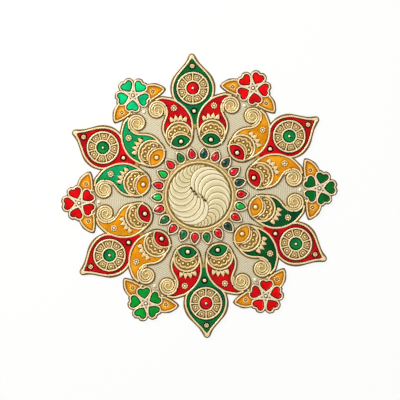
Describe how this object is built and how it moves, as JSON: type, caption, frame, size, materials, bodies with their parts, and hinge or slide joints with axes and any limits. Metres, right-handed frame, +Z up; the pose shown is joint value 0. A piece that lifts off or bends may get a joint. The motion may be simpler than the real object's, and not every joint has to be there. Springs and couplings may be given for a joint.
{
  "type": "thali plate",
  "caption": "Flat ceremonial thali plate with ogee petals and flower lobes, enamelled paisleys between raised gold ridges, a ring of set drop stones and a relief medallion.",
  "frame": {"origin": "middle of the flat underside, on the surface that the plate lies on", "axes": "+Z up, out of the decorated face; +Y through the tip of petal_1; +X to the right seen from above"},
  "size_m": [0.2912, 0.3, 0.0061],
  "materials": {
    "plate_gold": "aged gilded brass, satin",
    "relief_cream": "cream lacquer over gilded relief, satin",
    "cloison_gold": "pale gilded brass, soft polish",
    "rosette_gold": "gilded brass, worn satin",
    "enamel_green": "translucent green enamel, glossy",
    "enamel_red": "translucent red enamel, glossy",
    "enamel_orange": "amber orange enamel, glossy",
    "enamel_bright_green": "bright green enamel, glossy",
    "enamel_dark_green": "dark green enamel, glossy",
    "stone_red": "foiled red cut glass",
    "stone_green": "foiled green cut glass"
  },
  "bodies": {
    "root": {"base_plate": "plate_gold", "centre_medallion": "relief_cream", "centre_bezel": "cloison_gold", "stone_gallery": "cloison_gold", "drop_stone_01": "stone_red", "drop_stone_02": "stone_green", "drop_stone_03": "stone_red", "drop_stone_04": "stone_green", "drop_stone_05": "stone_red", "drop_stone_06": "stone_green", "drop_stone_07": "stone_red", "drop_stone_08": "stone_green", "drop_stone_09": "stone_red", "drop_stone_10": "stone_green", "drop_stone_11": "stone_red", "drop_stone_12": "stone_green", "drop_stone_13": "stone_red", "drop_stone_14": "stone_green", "drop_stone_15": "stone_red", "drop_stone_16": "stone_green", "drop_stone_17": "stone_red", "drop_stone_18": "stone_green", "drop_stone_19": "stone_red", "drop_stone_20": "stone_green", "drop_stone_21": "stone_red", "drop_stone_22": "stone_green", "petal_1": "enamel_green", "petal_medallion_1": "rosette_gold", "paisley_1_left": "enamel_red", "paisley_1_right": "enamel_red", "flower_1": "enamel_bright_green", "petal_2": "enamel_red", "petal_medallion_2": "rosette_gold", "paisley_2_left": "enamel_bright_green", "paisley_2_right": "enamel_bright_green", "flower_2": "enamel_red", "petal_3": "enamel_red", "petal_medallion_3": "rosette_gold", "paisley_3_left": "enamel_orange", "paisley_3_right": "enamel_orange", "flower_3": "enamel_green", "petal_4": "enamel_green", "petal_medallion_4": "rosette_gold", "paisley_4_left": "enamel_red", "paisley_4_right": "enamel_red", "flower_4": "enamel_red", "petal_5": "enamel_red", "petal_medallion_5": "rosette_gold", "paisley_5_left": "enamel_dark_green", "paisley_5_right": "enamel_dark_green", "flower_5": "enamel_dark_green", "petal_6": "enamel_red", "petal_medallion_6": "rosette_gold", "paisley_6_left": "enamel_orange", "paisley_6_right": "enamel_orange", "flower_6": "enamel_red"}
  },
  "joints": []
}
